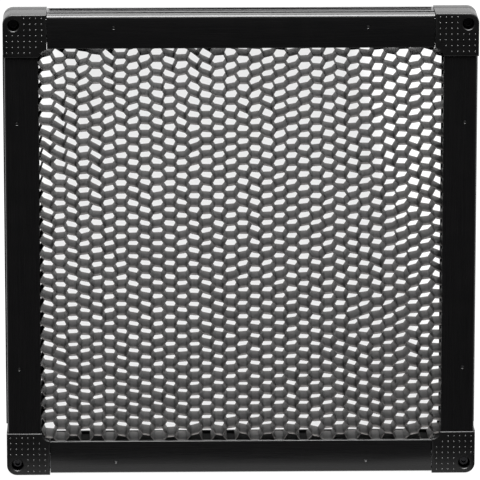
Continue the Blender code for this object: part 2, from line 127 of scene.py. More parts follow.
# Rail section, measured from the window outwards and from the front face back
LIP_DEPTH = 0.0025
LIP_HEIGHT = 0.0023
LIP_ROUND = 0.0007
RAIL_WALL = 0.0016
CROWN_RADIUS = 0.0025
GROOVE_START = 0.0085
GROOVE_END = 0.0127
GROOVE_DEPTH = 0.0015
GROOVE_ROUND = 0.0003
FLANGE_START = 0.0200
FLANGE_END = 0.0216
FLANGE_NOTCH = 0.0015
FINE_ROUND = 0.00025
ROUND_STEPS = 5

# Fasteners; a profile's depths are in metres and its radii are shares of the full one
SCREW_RADIUS = 0.002
THREAD_PITCH = 0.0007
THREAD_DEPTH = 0.00038
THREAD_FLANK = 2.6
THREAD_ROOT = 0.15
RINGS_PER_TURN = 8
RELIEF_RADIUS = 0.0014
HEAD_RADIUS = 0.0035
HEAD_LENGTH = 0.004
SOCKET_RADIUS = 0.00173
SOCKET_DEPTH = 0.002
KNURL_RIDGES = 30
KNURL_DEPTH = 0.00009
LATHE_SIDES = 120
TAPPER_RADIUS = 0.00125
TAPPER_HEAD_RADIUS = 0.0023
TAPPER_HEAD_LENGTH = 0.0014
TAPPER_SINK = 0.002
TAPPER_PITCH = 0.0011
TAPPER_THREAD_SHARE = 0.3
TAPPER_HEAD_PROFILE = ((0.0, 0.35), (0.00008, 0.7), (0.00035, 0.93), (0.0008, 1.0))
TAPPER_RIM_SHARE = 0.97
TAPPER_NECK_SHARE = 0.9
TAPPER_POINT = (0.45, 0.12)
RECESS_ARM_SHARE = 0.58
RECESS_HALF_SHARE = 0.13
RECESS_DEPTH_SHARE = 0.7
PIN_RADIUS = 0.001
PIN_TAIL_RADIUS = 0.0016
PIN_DOME = ((0.0, 0.25), (0.00003, 0.55), (0.00012, 0.85), (0.00028, 1.0))
PIN_END_SHARE = 0.6
KEY_GUSSET = 0.0052
KEY_INSET = 0.0092
KEY_ROUND = 0.001
KEY_SCALLOP_STEPS = 20

# Honeycomb: flat-topped cells in upright columns
CELL = 0.0096
COLUMN_PITCH = 0.00844
COLUMN_SHIFT = 0.0017
NODE_WALL_LENGTH = CELL / math.sqrt(3)
LOOSE_LEAN = 47.0
LOOSE_BIAS = 0.35
LOOSE_LIFT = 0.0021
LOOSE_DRIFT = 0.0008
RAGGED = 0.0018
RAGGED_LEAN = 0.25
MISSING_SHARE = 0.25
FOIL = 0.00016
NODE_FOIL = 0.00028
CORE_MARGIN = 0.00035
CORE_RACK_TOP = -0.0003
CORE_RACK_LOW = 0.0006
CORE_LEVELS = 4

# Waves up a column: rows from one knot to the next, and rows until the floor lets go
LEAN_ROWS = 3.0
LIFT_ROWS = 4.0
DRIFT_ROWS = 5.0
SETTLED_ROWS = 2
FLOOR_LEAN_SHARE = 0.3

# How crushed the cells are along the top, which falls to the right, and along the bottom
LOOSE_TOP_FALL = 0.55
LOOSE_TOP_RATE = 1.6
LOOSE_LOW_START = 0.34
LOOSE_LOW_DIP = 0.18
LOOSE_LOW_RISE = 0.16

# Chance differences from cell to cell
CELL_LEAN = 3.5
NODE_WALL_SHARES = (0.93, 1.05)
JOINT_JITTER = 0.00018
SKEW_JITTER = 0.0003
CREASE_JITTER = 0.00005

# Limits where foil walls meet, in foil thicknesses except the first
NEARLY_STRAIGHT = 0.2
MITRE_LIMIT = 4
SHORTEST_WALL = 4

QUARTERS = ("tr", "br", "bl", "tl")
SIDES = ("top", "right", "bottom", "left")
OVERCUT = 0.002
ROUND_SIDES = 48
SMALL_SIDES = 24
SHARP = 30
SHARP_FINE = 25
FACING = 0.5
WELD = 0.000001
SEED = 7
ALONG_X = Matrix(((0, 0, 1), (1, 0, 0), (0, 1, 0))).to_4x4()


# Meshes

def arc(centre, radius, start, end, steps):
    """Points along an arc, both ends included; angles in degrees."""
    points = []
    for i in range(steps + 1):
        angle = math.radians(start + (end - start) * i / steps)
        points.append((centre[0] + radius * math.cos(angle), centre[1] + radius * math.sin(angle)))
    return points


def circle(centre, radius, sides):
    """A closed ring of points."""
    return arc(centre, radius, 0, 360 * (sides - 1) / sides, sides - 1)


def rounded(points, steps=4):
    """A closed outline from (across, along, radius) points, with each corner rounded."""
    outline = []
    count = len(points)
    for i, (px, py, radius) in enumerate(points):
        here = Vector((px, py))
        before = Vector(points[i - 1][:2]) - here
        after = Vector(points[(i + 1) % count][:2]) - here
        if radius == 0:
            outline.append((px, py))
            continue
        half = before.angle(after) / 2
        reach = radius / math.tan(half)
        start = here + before.normalized() * reach
        end = here + after.normalized() * reach
        middle = here + (before.normalized() + after.normalized()).normalized() * radius / math.sin(half)
        first = start - middle
        turn = first.angle_signed(end - middle)
        for step in range(steps + 1):
            spoke = Matrix.Rotation(-turn * step / steps, 2) @ first
            outline.append(tuple(middle + spoke))
    return outline


@contextlib.contextmanager
def editing(mesh):
    """A bmesh made from a mesh, written back to it at the end."""
    work = bmesh.new()
    work.from_mesh(mesh)
    yield work
    work.to_mesh(mesh)
    work.free()


def link_object(name, mesh):
    """A mesh object at the origin, linked to the scene."""
    thing = bpy.data.objects.new(name, mesh)
    bpy.context.scene.collection.objects.link(thing)
    return thing


def baked_mesh(thing):
    """The object's mesh with its modifiers applied, welded, faces pointing out."""
    bpy.context.view_layer.update()
    graph = bpy.context.evaluated_depsgraph_get()
    mesh = bpy.data.meshes.new_from_object(thing.evaluated_get(graph))
    mesh.transform(thing.matrix_world)
    with editing(mesh) as work:
        bmesh.ops.remove_doubles(work, verts=work.verts, dist=WELD)
        bmesh.ops.dissolve_degenerate(work, edges=work.edges, dist=WELD)
        bmesh.ops.recalc_face_normals(work, faces=work.faces)
    return mesh


def finished(thing, *looks, sharp=SHARP):
    """The working object's mesh, shaded and with its materials; the object is removed."""
    mesh = baked_mesh(thing)
    bpy.data.objects.remove(thing, do_unlink=True)
    mesh.materials.clear()
    dress(mesh, looks, sharp)
    return mesh


def dress(mesh, looks, sharp):
    """Smooth shading with sharp edges kept, and the materials of the named looks."""
    mesh.shade_smooth()
    mesh.set_sharp_from_angle(angle=math.radians(sharp))
    for look in looks:
        mesh.materials.append(LOOKS[look])


def second_look(mesh, chosen):
    """Gives a mesh's second material to the faces that pass a test."""
    for face in mesh.polygons:
        if chosen(face):
            face.material_index = 1


def outline_solid(name, outlines, thickness, matrix):
    """A flat outline with a thickness; further outlines inside the first one are holes."""
    curve = bpy.data.curves.new(name, "CURVE")
    curve.dimensions = "2D"
    curve.fill_mode = "BOTH"
    curve.extrude = thickness / 2
    for points in outlines:
        spline = curve.splines.new("POLY")
        spline.points.add(len(points) - 1)
        spline.use_cyclic_u = True
        for control, point in zip(spline.points, points):
            control.co = (point[0], point[1], 0.0, 1.0)
    flat = link_object(name, curve)
    flat.matrix_world = matrix
    mesh = baked_mesh(flat)
    bpy.data.objects.remove(flat, do_unlink=True)
    return link_object(name, mesh)


def facing_plate(name, outlines, front_y, rear_y):
    """An outline in the X-Z plane, given thickness from front_y to rear_y."""
    upright = Matrix.Rotation(math.radians(90), 4, "X")
    middle = Matrix.Translation((0.0, (front_y + rear_y) / 2, 0.0))
    return outline_solid(name, outlines, rear_y - front_y, middle @ upright)


def box(name, low, high):
    """A box between two corners, used as a cutter."""
    size = Vector(high) - Vector(low)
    middle = (Vector(high) + Vector(low)) / 2
    place = Matrix.Translation(middle) @ Matrix.Diagonal((*size, 1.0))
    mesh = bpy.data.meshes.new(name)
    with editing(mesh) as work:
        bmesh.ops.create_cube(work, size=1.0, matrix=place)
    return link_object(name, mesh)


def lathe(name, rings, sides, centre=(0.0, 0.0)):
    """A body turned about Y from (y, radius) rings; a radius may be a function of the angle."""
    mesh = bpy.data.meshes.new(name)
    with editing(mesh) as work:
        loops = []
        for y, radius in rings:
            loop = []
            for i in range(sides):
                angle = 2 * math.pi * i / sides
                size = radius(angle) if callable(radius) else radius
                place = (centre[0] + size * math.cos(angle), y, centre[1] + size * math.sin(angle))
                loop.append(work.verts.new(place))
            loops.append(loop)
        for first, second in zip(loops, loops[1:]):
            for i in range(sides):
                j = (i + 1) % sides
                work.faces.new((first[i], first[j], second[j], second[i]))
        work.faces.new(loops[0])
        work.faces.new(loops[-1])
        bmesh.ops.recalc_face_normals(work, faces=work.faces)
    return link_object(name, mesh)


def rod(name, centre, radius, front_y, rear_y, sides=ROUND_SIDES):
    """A cylinder along Y, used to cut or join."""
    return lathe(name, [(front_y, radius), (rear_y, radius)], sides, centre)


def led_bore(name, centre, radius, mouth_y, floor_y, lead):
    """A round bore's cutter with a bevelled mouth in the face at mouth_y."""
    inward = math.copysign(1.0, floor_y - mouth_y)
    rings = [(mouth_y - inward * lead, radius + 2 * lead), (mouth_y + inward * lead, radius)]
    return lathe(name, rings + [(floor_y, radius)], ROUND_SIDES, centre)


def combine(target, others, operation):
    """Applies a Boolean of each other object to the target."""
    for other in others:
        step = target.modifiers.new(operation.lower(), "BOOLEAN")
        step.operation = operation
        step.solver = "MANIFOLD"
        step.object = other
    mesh = baked_mesh(target)
    target.modifiers.clear()
    target.data = mesh
    for other in others:
        bpy.data.objects.remove(other, do_unlink=True)


def cut(target, *cutters):
    """Takes the cutters' volumes out of the target."""
    combine(target, cutters, "DIFFERENCE")


def join(target, *bodies):
    """Makes the bodies one with the target."""
    combine(target, bodies, "UNION")


def refill(thing, face_y):
    """Fills the flat face at face_y anew from its rims, as the Booleans can leave folds in it."""
    with editing(thing.data) as work:
        flat = [face for face in work.faces if all(abs(v.co.y - face_y) < WELD for v in face.verts)]
        bmesh.ops.delete(work, geom=flat, context="FACES")
        rims = [edge for edge in work.edges if edge.is_boundary]
        bmesh.ops.triangle_fill(work, use_beauty=True, use_dissolve=False, edges=rims)
        bmesh.ops.recalc_face_normals(work, faces=work.faces)


def round_rim(thing, face_y, width, segments):
    """Rounds the edges round the flat face that lies at face_y."""
    with editing(thing.data) as work:
        rim = []
        for edge in work.edges:
            on_face = all(abs(v.co.y - face_y) < WELD for v in edge.verts)
            facing = [abs(f.normal.y) > FACING for f in edge.link_faces]
            if on_face and facing.count(True) == 1:
                rim.append(edge)
        bmesh.ops.bevel(work, geom=rim, offset=width, segments=segments, profile=0.5, affect="EDGES")


# Materials

def math_node(tree, operation, *sources):
    """The result of a Math node fed with sockets or plain numbers."""
    node = tree.nodes.new("ShaderNodeMath")
    node.operation = operation
    for socket, source in zip(node.inputs, sources):
        if isinstance(source, float):
            socket.default_value = source
        else:
            tree.links.new(source, socket)
    return node.outputs[0]


class Surface:
    """A Principled material and a few short ways to drive it from procedural textures."""

    def __init__(self, name, colour, roughness, metallic=0.0, specular=None):
        self.material = bpy.data.materials.new(name)
        self.material.use_nodes = True
        self.tree = self.material.node_tree
        self.shader = self.tree.nodes["Principled BSDF"]
        self.set(self.shader, Roughness=roughness, Metallic=metallic)
        self.set(self.shader, **{"Base Color": (*colour, 1.0)})
        if specular is not None:
            self.set(self.shader, **{"Specular IOR Level": specular})
        self.place = self.tree.nodes.new("ShaderNodeTexCoord").outputs["Object"]

    def set(self, node, **values):
        """Sets input sockets by name."""
        for key, value in values.items():
            node.inputs[key].default_value = value

    def noise(self, scale, detail=4.0, stretch=(1.0, 1.0, 1.0)):
        """Noise over the piece, in features per metre, drawn out along an axis by a small stretch."""
        mapping = self.tree.nodes.new("ShaderNodeMapping")
        self.set(mapping, Scale=stretch)
        self.tree.links.new(self.place, mapping.inputs["Vector"])
        texture = self.tree.nodes.new("ShaderNodeTexNoise")
        self.set(texture, Scale=scale, Detail=detail, Roughness=0.55)
        self.tree.links.new(mapping.outputs["Vector"], texture.inputs["Vector"])
        return texture.outputs["Fac"]

    def spread(self, source, low, high, start=0.3, end=0.7):
        """The source between start and end, mapped to low and high."""
        ranged = self.tree.nodes.new("ShaderNodeMapRange")
        values = {"From Min": start, "From Max": end, "To Min": low, "To Max": high}
        self.set(ranged, **values)
        self.tree.links.new(source, ranged.inputs["Value"])
        return ranged.outputs["Result"]

    def tint(self, source, other, start=0.3, end=0.7):
        """Mixes the base colour towards another one where the source is high."""
        mix = self.tree.nodes.new("ShaderNodeMix")
        mix.data_type = "RGBA"
        # A Mix node's colours are inputs 6 and 7 and output 2
        base = self.shader.inputs["Base Color"]
        if base.is_linked:
            self.tree.links.new(base.links[0].from_socket, mix.inputs[6])
        else:
            mix.inputs[6].default_value = base.default_value
        mix.inputs[7].default_value = (*other, 1.0)
        self.tree.links.new(self.spread(source, 0.0, 1.0, start, end), mix.inputs[0])
        self.tree.links.new(mix.outputs[2], base)

    def vary_roughness(self, source, low, high):
        """Drives roughness between two values."""
        self.tree.links.new(self.spread(source, low, high), self.shader.inputs["Roughness"])

    def bump(self, source, distance, strength=1.0):
        """Adds relief of a given depth on top of any relief already there."""
        node = self.tree.nodes.new("ShaderNodeBump")
        self.set(node, Strength=strength, Distance=distance)
        self.tree.links.new(source, node.inputs["Height"])
        normal = self.shader.inputs["Normal"]
        if normal.is_linked:
            self.tree.links.new(normal.links[0].from_socket, node.inputs["Normal"])
        self.tree.links.new(node.outputs["Normal"], normal)


def anodised_surface():
    """Black anodised extrusion: faint die lines along the rail, cloudy sheen."""
    made = Surface("rail_anodised_look", (0.0024, 0.0024, 0.0026), 0.28)
    made.set(made.shader, IOR=1.5)
    lines = made.noise(2200.0, 3.0, (0.012, 1.0, 1.0))
    clouds = made.noise(90.0, 5.0)
    made.tint(clouds, (0.0034, 0.0032, 0.0034))
    made.vary_roughness(lines, 0.24, 0.34)
    made.bump(lines, 0.000010, 0.6)
    made.bump(made.noise(9000.0, 2.0), 0.000006, 0.5)
    return made.material


def channel_surface():
    """The unpolished inside of the rail's channel: the same black, without sheen."""
    made = Surface("rail_channel_look", (0.0060, 0.0060, 0.0062), 0.85, specular=0.08)
    made.tint(made.noise(300.0), (0.0100, 0.0100, 0.0100))
    return made.material


def moulded_surface(name, roughness, grain):
    """Moulded black plastic with a fine spark-eroded texture."""
    made = Surface(name, (0.0018, 0.0018, 0.0020), roughness, specular=0.36)
    made.tint(made.noise(140.0, 5.0), (0.0036, 0.0035, 0.0035))
    pits = made.noise(5200.0, 3.0)
    made.vary_roughness(pits, roughness - 0.06, roughness + 0.08)
    made.bump(pits, grain, 0.8)
    return made.material


def stud_surface():
    """The polished tops of the grip studs, with a base colour lighter than the moulding's as a painted
    highlight.
    """
    # The base colour is a painted highlight, lighter than the moulding so the studs read as bright dots; the
    # low roughness is real polish.
    made = Surface("stud_plastic_look", (0.012, 0.012, 0.012), 0.18, specular=1.0)
    made.vary_roughness(made.noise(3000.0, 3.0), 0.14, 0.24)
    return made.material


def foil_surface():
    """Dark coated aluminium foil: rolling lines that run from front to rear, with painted shade in its
    folds.
    """
    made = Surface("core_foil_look", (0.063, 0.0590, 0.0572), 0.55, specular=0.2)
    lines = made.noise(2600.0, 4.0, (1.0, 0.05, 1.0))
    patches = made.noise(160.0)
    made.tint(lines, (0.134, 0.1263, 0.122))
    made.tint(patches, (0.079, 0.0728, 0.0706), 0.45, 0.8)
    # Painted shade: ambient occlusion darkens the colour near the folds.
    fold = made.tree.nodes.new("ShaderNodeAmbientOcclusion")
    made.set(fold, Distance=0.0020)
    made.tint(fold.outputs["AO"], (0.010, 0.009, 0.009), 0.97, 0.72)
    made.vary_roughness(lines, 0.45, 0.65)
    made.bump(lines, 0.00003, 0.7)
    return made.material


def foil_edge_surface():
    """The sawn ends of the foil walls, kept far darker than the walls."""
    made = Surface("core_foil_edge_look", (0.005, 0.005, 0.005), 0.8, specular=0.15)
    made.tint(made.noise(1500.0), (0.012, 0.011, 0.011))
    return made.material


def plated_surface():
    """Zinc plated sheet steel, lightly brushed."""
    made = Surface("key_plate_look", (0.55, 0.55, 0.56), 0.34, 1.0)
    brushed = made.noise(1500.0, 4.0, (0.03, 1.0, 1.0))
    made.tint(made.noise(60.0, 5.0), (0.48, 0.49, 0.52))
    made.vary_roughness(brushed, 0.26, 0.44)
    made.bump(brushed, 0.00001, 0.6)
    return made.material


def oxide_surface(name, colour, worn):
    """Blackened steel, turned: fine rings round its axis and brighter rubbed patches."""
    made = Surface(name, colour, 0.34, 1.0)
    rings = made.noise(5000.0, 3.0, (0.05, 1.0, 0.05))
    made.tint(made.noise(700.0, 5.0), worn, 0.52, 0.75)
    made.vary_roughness(rings, 0.25, 0.42)
    made.bump(rings, 0.000008, 0.5)
    return made.material


def nylon_surface():
    """Natural nylon, slightly translucent white."""
    made = Surface("captive_nylon_look", (0.72, 0.70, 0.64), 0.42)
    made.set(made.shader, **{"Subsurface Weight": 0.3, "Subsurface Scale": 0.002})
    made.tint(made.noise(400.0, 3.0), (0.66, 0.64, 0.57))
    made.bump(made.noise(3000.0, 2.0), 0.00001, 0.5)
    return made.material


def strip_surface():
    """Matt extruded plastic strip with faint lines along its length."""
    made = Surface("strip_plastic_look", (0.010, 0.010, 0.010), 0.55)
    lines = made.noise(1800.0, 3.0, (0.02, 1.0, 1.0))
    made.tint(lines, (0.016, 0.016, 0.016))
    made.vary_roughness(lines, 0.48, 0.64)
    made.bump(lines, 0.00001, 0.5)
    return made.material


# Pieces

def corner_outline():
    """The moulding's square with a rounded outer corner and a scooped window corner."""
    scoop = WINDOW_HALF - WINDOW_PROUD - CORNER_INNER
    centre = CORNER_HALF - OUTER_RADIUS
    points = [(CORNER_INNER, CORNER_HALF)]
    points += arc((centre, centre), OUTER_RADIUS, 90, 0, 20)
    points += [(CORNER_HALF, CORNER_INNER)]
    points += arc((CORNER_INNER, CORNER_INNER), scoop, 0, 90, 18)
    return points


def cavity_outline():
    """The L-shaped hollow of a corner, which runs on into both rails' hollows."""
    outer = CORNER_HALF - SHELL_WALL
    wall = WINDOW_HALF + LIP_HEIGHT + RAIL_WALL
    end = CORNER_INNER - OVERCUT
    cut_start = outer - HOLLOW_CORNER_CUT
    return [
        (end, outer), (cut_start, outer), (outer, cut_start),
        (outer, end), (wall, end), (wall, wall), (end, wall),
    ]


def core_pocket(front_y, rear_y):
    """The corner of the pocket that the core's edge sits in, as a cutter."""
    reach = CORE_HIGH.x + GAP
    start = CORNER_INNER - OVERCUT
    return box("core_pocket", (start, front_y, start), (reach, rear_y, reach))


def both_legs(point):
    """A place on one leg of a corner and its mirror image on the other."""
    return (point, (point[1], point[0]))


def grip_studs():
    """Small flattened domes in a grid, left out round the screw and beside the window."""
    last = STUD_ROWS - 1
    squash = Matrix.Diagonal((1.0, STUD_HEIGHT / STUD_RADIUS, 1.0, 1.0))
    upright = Matrix.Rotation(math.radians(90), 4, "X")
    sphere = {"u_segments": STUD_SEGMENTS, "v_segments": STUD_RINGS, "radius": STUD_RADIUS}
    mesh = bpy.data.meshes.new("studs")
    with editing(mesh) as work:
        for column, row in itertools.product(range(STUD_ROWS), repeat=2):
            beside_screw = max(column, row) < STUD_ROWS_BY_SCREW
            beside_window = column + row >= 2 * last - 1
            if beside_screw or beside_window:
                continue
            x = CORNER_HALF - STUD_INSET - STUD_PITCH * column
            z = CORNER_HALF - STUD_INSET - STUD_PITCH * row
            place = Matrix.Translation((x, CORNER_FACE_Y, z)) @ squash @ upright
            bmesh.ops.create_uvsphere(work, matrix=place, **sphere)
    return link_object("studs", mesh)


def make_corner_front():
    """Front moulding: rounded face edge, studs, counterbore, posts behind."""
    rear = PARTING_FRONT_Y
    seat = rear - SEAT_WEB
    shell = facing_plate("corner_front", [corner_outline()], CORNER_FACE_Y, rear)
    round_rim(shell, CORNER_FACE_Y, EDGE_ROUND, EDGE_STEPS)
    round_rim(shell, rear, PARTING_ROUND, PARTING_STEPS)
    hollow = facing_plate("hollow", [cavity_outline()], CORNER_FACE_Y + SHELL_WALL, rear + OVERCUT)
    cut(shell, hollow, core_pocket(RAIL_FRONT_Y + LIP_DEPTH, rear + OVERCUT))
    root = CORNER_FACE_Y + SHELL_WALL / 2
    join(shell, rod("boss", SCREW_AT, COUNTERBORE_RADIUS + COUNTERBORE_WALL, root, rear))
    for centre in both_legs(POST_AT):
        join(shell, rod("post", centre, POST_RADIUS, root, rear, SMALL_SIDES))
    cut(shell, led_bore("counterbore", SCREW_AT, COUNTERBORE_RADIUS, CORNER_FACE_Y, seat, COUNTERBORE_LEAD))
    cut(shell, rod("screw_hole", SCREW_AT, SCREW_CLEARANCE_RADIUS, seat - GAP, rear + OVERCUT))
    pilot_end = TAPPER_LOW.y - OVERCUT
    for centre in both_legs(POST_AT):
        cut(shell, rod("pilot", centre, TAPPER_RADIUS + GAP, pilot_end, rear + OVERCUT, SMALL_SIDES))
    join(shell, grip_studs())
    refill(shell, CORNER_FACE_Y)
    mesh = finished(shell, "moulded", "stud")
    # The studs get the stud look, whose lighter colour is a painted highlight.
    second_look(mesh, lambda face: face.center.y < CORNER_FACE_Y - WELD)
    return mesh


def make_corner_rear():
    """Rear moulding: seating face, washer chamber, sunk holes for its two screws."""
    front = PARTING_REAR_Y
    inside = -SHELL_WALL
    shell = facing_plate("corner_rear", [corner_outline()], front, 0.0)
    round_rim(shell, 0.0, EDGE_ROUND, EDGE_STEPS)
    round_rim(shell, front, PARTING_ROUND, PARTING_STEPS)
    hollow = facing_plate("hollow", [cavity_outline()], front - OVERCUT, inside)
    cut(shell, hollow, core_pocket(front - OVERCUT, CORE_HIGH.y + GAP))
    chamber = (WASHER_HIGH.x - WASHER_LOW.x) / 2 + GAP
    root = inside / 2
    join(shell, rod("chamber_wall", SCREW_AT, chamber + COUNTERBORE_WALL, front, root))
    for centre in both_legs(POST_AT):
        join(shell, rod("post", centre, REAR_POST_RADIUS, front, root, SMALL_SIDES))
    cut(shell, rod("chamber", SCREW_AT, chamber, front - OVERCUT, inside))
    cut(shell, led_bore("screw_hole", SCREW_AT, SCREW_CLEARANCE_RADIUS, 0.0, inside - GAP, COUNTERBORE_LEAD))
    clearance = TAPPER_RADIUS + 1.5 * GAP
    sink = TAPPER_HEAD_RADIUS + 1.5 * GAP
    for centre in both_legs(POST_AT):
        cut(shell, rod("tapper_hole", centre, clearance, front - OVERCUT, OVERCUT, SMALL_SIDES))
        cut(shell, led_bore("tapper_sink", centre, sink, 0.0, -TAPPER_SINK, GAP))
    refill(shell, 0.0)
    return finished(shell, "moulded")


def rail_section():
    """Outer and hollow outlines of a rail, as (depth along Y, distance from the frame's centre)."""
    front = RAIL_FRONT_Y
    inner = WINDOW_HALF
    outer = RAIL_HALF
    groove = outer - GROOVE_DEPTH
    flange = outer + FLANGE_HEIGHT
    channel = inner + LIP_HEIGHT
    ledge = inner + (STRIP_HIGH.z - STRIP_LOW.z) + GAP
    ledge_y = STRIP_LOW.y - GAP
    outside = rounded([
        (front, inner, LIP_ROUND),
        (front, outer, CROWN_RADIUS),
        (front + GROOVE_START, outer, FINE_ROUND),
        (front + GROOVE_START, groove, GROOVE_ROUND),
        (front + GROOVE_END, groove, GROOVE_ROUND),
        (front + GROOVE_END, outer, FINE_ROUND),
        (front + FLANGE_START, outer, FINE_ROUND),
        (front + FLANGE_START, flange, FINE_ROUND),
        (front + FLANGE_END, flange, FINE_ROUND),
        (front + FLANGE_END, outer, FINE_ROUND),
        (RAIL_REAR_Y, outer, 2 * FINE_ROUND),
        (RAIL_REAR_Y, ledge, FINE_ROUND),
        (ledge_y, ledge, FINE_ROUND),
        (ledge_y, channel, FINE_ROUND),
        (front + LIP_DEPTH, channel, FINE_ROUND),
        (front + LIP_DEPTH, inner, FINE_ROUND),
    ], ROUND_STEPS)
    wall = RAIL_WALL
    hollow = [
        (front + wall, channel + wall),
        (front + wall, outer - CROWN_RADIUS),
        (front + CROWN_RADIUS, outer - wall),
        (front + GROOVE_START - wall, outer - wall),
        (front + GROOVE_START - wall, groove - wall),
        (front + GROOVE_END + wall, groove - wall),
        (front + GROOVE_END + wall, outer - wall),
        (RAIL_REAR_Y - wall, outer - wall),
        (RAIL_REAR_Y - wall, ledge + wall),
        (ledge_y - wall, ledge + wall),
        (ledge_y - wall, channel + wall),
    ]
    return [outside, hollow]


def make_rail():
    """Top rail: hollow extrusion, flange notched at both ends, bevelled pin holes."""
    rail = outline_solid("rail", rail_section(), 2 * RAIL_END, ALONG_X)
    low_y = RAIL_FRONT_Y + FLANGE_START - GAP
    high_y = RAIL_FRONT_Y + FLANGE_END + GAP
    hole = PIN_RADIUS + GAP / 2
    deep = RAIL_FRONT_Y + 2 * RAIL_WALL
    for side in (-1, 1):
        ends = sorted((side * (RAIL_END - FLANGE_NOTCH), side * (RAIL_END + OVERCUT)))
        cut(rail, box("notch", (ends[0], low_y, RAIL_HALF), (ends[1], high_y, RAIL_HALF + OVERCUT)))
        hole_at = (side * PIN_AT[0], PIN_AT[1])
        cut(rail, led_bore("pin_hole", hole_at, hole, RAIL_FRONT_Y, deep, GAP / 2))
    channel_y = RAIL_FRONT_Y + LIP_DEPTH - GAP
    channel_z = WINDOW_HALF + LIP_HEIGHT + GAP
    mesh = finished(rail, "anodised", "channel")
    second_look(mesh, lambda face: face.center.y > channel_y and face.center.z < channel_z)
    return mesh


def make_strip():
    """Top retaining strip with rounded edges."""
    low, high = STRIP_LOW, STRIP_HIGH
    edge = FINE_ROUND
    section = [(low.y, low.z, 2 * edge), (low.y, high.z, edge)]
    section += [(high.y, high.z, edge), (high.y, low.z, 2 * edge)]
    return finished(outline_solid("strip", [rounded(section)], high.x - low.x, ALONG_X), "strip")


def make_key():
    """L-shaped key plate with rounded corners, a gusset and a hole for a pin in each leg."""
    inner = WINDOW_HALF + KEY_INSET
    outer = KEY_HIGH.x
    end = KEY_LOW.x
    soft = KEY_ROUND
    scallop = COUNTERBORE_RADIUS + COUNTERBORE_WALL + GAP
    reach = math.degrees(math.acos((outer - SCREW_AXIS) / scallop))
    round_boss = arc(SCREW_AT, scallop, 90 + reach, 360 - reach, KEY_SCALLOP_STEPS)
    outline = [(inner - KEY_GUSSET, inner, soft), (end, inner, soft), (end, outer, soft)]
    outline += [(x, z, 0) for x, z in round_boss]
    outline += [(outer, end, soft), (inner, end, soft), (inner, inner - KEY_GUSSET, soft)]
    holes = [circle(centre, PIN_RADIUS + GAP, SMALL_SIDES) for centre in both_legs(PIN_AT)]
    plate = facing_plate("key", [rounded(outline), *holes], KEY_LOW.y, KEY_HIGH.y)
    round_rim(plate, KEY_LOW.y, GAP / 2, 1)
    round_rim(plate, KEY_HIGH.y, GAP / 2, 1)
    return finished(plate, "plated")


def thread(radius, depth, pitch, y):
    """Radius at an angle, on a thread whose groove winds round with y."""
    def at(angle):
        phase = (y / pitch + angle / (2 * math.pi)) % 1.0
        return radius - depth * min(1.0, max(0.0, THREAD_FLANK * abs(phase - 0.5) - THREAD_ROOT))
    return at


def threaded_rings(radius, depth, pitch, start, end):
    """Rings of a thread from start to end along Y."""
    steps = max(2, round(abs(end - start) / pitch * RINGS_PER_TURN))
    rings = []
    for i in range(steps + 1):
        y = start + (end - start) * i / steps
        rings.append((y, thread(radius, depth, pitch, y)))
    return rings


def make_screw():
    """Captive socket-head screw: threaded tip, turned-down neck, plain shank, knurled head."""
    head = SCREW_LOW.y
    under_head = head + HEAD_LENGTH
    relief_front = WASHER_LOW.y - GAP
    relief_rear = WASHER_HIGH.y + GAP
    tip = SCREW_HIGH.y
    edge = SCREW_RADIUS / 5

    def knurl(angle):
        return HEAD_RADIUS - KNURL_DEPTH * (0.5 + 0.5 * math.cos(KNURL_RIDGES * angle))

    root = SCREW_RADIUS - THREAD_DEPTH
    shank = SCREW_RADIUS - GAP / 3
    crown = HEAD_RADIUS - KNURL_DEPTH
    rings = [(tip, root - edge), (tip - edge, root)]
    rings += threaded_rings(SCREW_RADIUS, THREAD_DEPTH, THREAD_PITCH, tip - 2 * edge, relief_rear + edge)
    rings += [(relief_rear, RELIEF_RADIUS), (relief_front, RELIEF_RADIUS)]
    rings += [(relief_front - edge / 2, shank), (under_head, shank)]
    rings += [(under_head, HEAD_RADIUS - edge / 2), (under_head - edge / 2, knurl)]
    rings += [(head + 1.4 * edge, knurl), (head + 1.2 * edge, crown), (head + edge, crown)]
    rings += [(head + edge / 3, HEAD_RADIUS - edge), (head, HEAD_RADIUS - 1.6 * edge)]
    screw = lathe("screw", rings, LATHE_SIDES)
    socket_floor = head + SOCKET_DEPTH
    mouth = [(head - GAP, SOCKET_RADIUS + GAP), (head + GAP, SOCKET_RADIUS - GAP)]
    cut(screw, rod("socket", (0.0, 0.0), SOCKET_RADIUS, head - OVERCUT, socket_floor, 6))
    cut(screw, lathe("socket_lead", mouth, ROUND_SIDES))
    return finished(screw, "oxide", sharp=SHARP_FINE)


def make_washer():
    """Captive washer with rounded edges."""
    outer = (WASHER_HIGH.x - WASHER_LOW.x) / 2
    edge = FINE_ROUND
    low, high = WASHER_LOW.y, WASHER_HIGH.y
    rings = [(low, outer - edge), (low + edge, outer), (high - edge, outer), (high, outer - edge)]
    washer = lathe("washer", rings, ROUND_SIDES)
    cut(washer, rod("bore", (0.0, 0.0), RELIEF_RADIUS + GAP, low - OVERCUT, high + OVERCUT))
    return finished(washer, "nylon")


